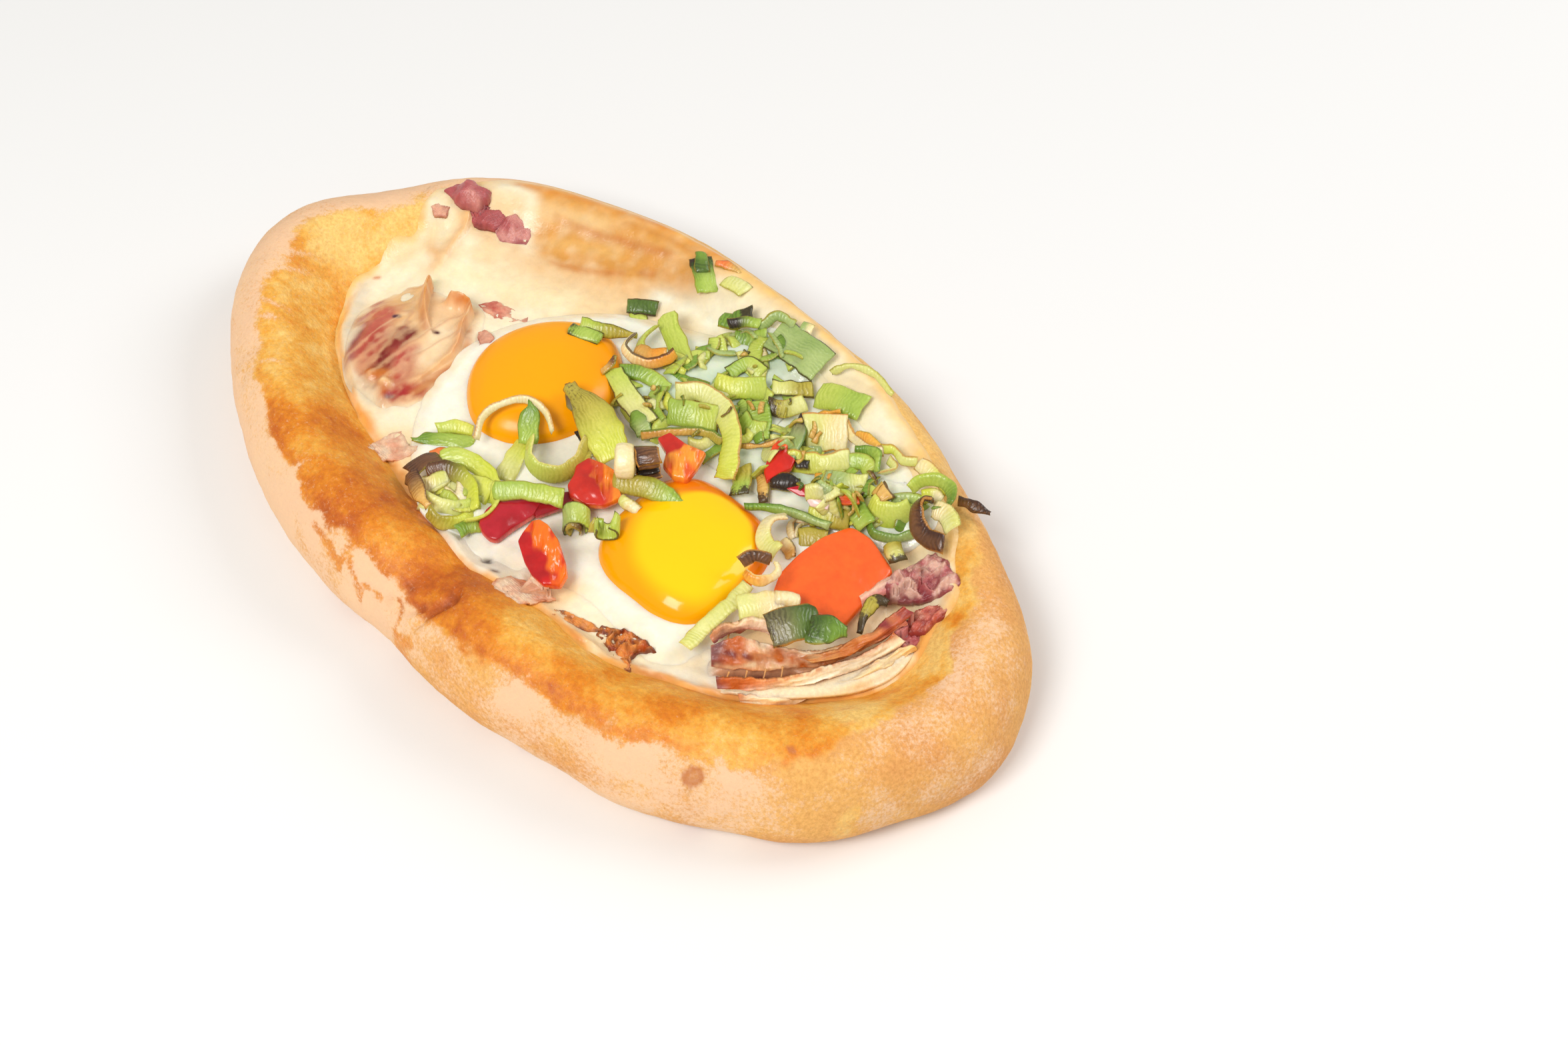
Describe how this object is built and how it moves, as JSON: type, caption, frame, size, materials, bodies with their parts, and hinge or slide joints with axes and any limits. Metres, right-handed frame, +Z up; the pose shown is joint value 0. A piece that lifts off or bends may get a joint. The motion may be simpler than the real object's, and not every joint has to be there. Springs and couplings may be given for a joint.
{
  "type": "khachapuri",
  "caption": "Boat-shaped open bread with a rolled golden rim, filled with cheese and egg and topped with sliced leek, bell pepper and bacon.",
  "frame": {"origin": "middle of the loaf's flat base, under the middle of its box", "axes": "+Z up, +X along the loaf towards its blunt end with the folded bacon, +Y towards the long side whose rim is thin and partly covered by the cheese"},
  "size_m": [0.2358, 0.1346, 0.0326],
  "materials": {
    "crust": "matte baked crust",
    "cheese": "soft sheen",
    "egg_white": "wet gloss",
    "yolk": "wet gloss",
    "leek_green": "fibrous satin",
    "leek_pale": "fibrous satin",
    "leek_burnt": "dry matt",
    "pepper_orange": "smooth skin",
    "pepper_red": "smooth skin",
    "bacon": "greasy sheen",
    "ham": "greasy sheen"
  },
  "bodies": {
    "root": {"bacon_band": "bacon", "bacon_crisp": "bacon", "bacon_flat": "bacon", "bacon_fold": "ham", "bacon_leaf_inner": "bacon", "bacon_leaf_middle": "bacon", "bacon_leaf_outer": "bacon", "bacon_wrinkled": "bacon", "bread": "crust", "cheese": "cheese", "egg_white": "egg_white", "ham_lump_far": "ham", "ham_lump_near": "ham", "ham_rim": "ham", "ham_sliver": "ham", "ham_top_1": "ham", "ham_top_2": "ham", "ham_top_3": "ham", "leek_bright_ring": "leek_green", "leek_brown_ring": "leek_burnt", "leek_burnt_curl": "leek_burnt", "leek_burnt_tip": "leek_burnt", "leek_cluster": "leek_green", "leek_cream_ribbed": "leek_pale", "leek_curled": "leek_burnt", "leek_dark_back": "leek_green", "leek_dark_point": "leek_green", "leek_far_rim": "leek_green", "leek_far_square": "leek_green", "leek_far_tab": "leek_pale", "leek_grey_left": "leek_green", "leek_grey_right": "leek_green", "leek_heap": "leek_green", "leek_leaf": "leek_green", "leek_lime": "leek_green", "leek_long_strip": "leek_green", "leek_pointed": "leek_green", "leek_ring_near": "leek_green", "leek_shreds": "leek_pale", "leek_strip_near": "leek_green", "leek_striped": "leek_green", "leek_tan_ring": "leek_pale", "leek_tube_left": "leek_pale", "leek_tube_right": "leek_pale", "leek_upright": "leek_green", "leek_white_curl": "leek_pale", "leek_white_ring": "leek_pale", "leek_yellow_bent": "leek_green", "leek_yolk_side": "leek_green", "leek_yolk_strip": "leek_pale", "pepper_big": "pepper_orange", "pepper_chunk_far": "pepper_orange", "pepper_chunk_middle": "pepper_orange", "pepper_chunk_near": "pepper_orange", "pepper_crescent": "pepper_red", "pepper_heap": "pepper_red", "pepper_strip": "pepper_red", "yolk_far": "yolk", "yolk_near": "yolk"}
  },
  "joints": []
}
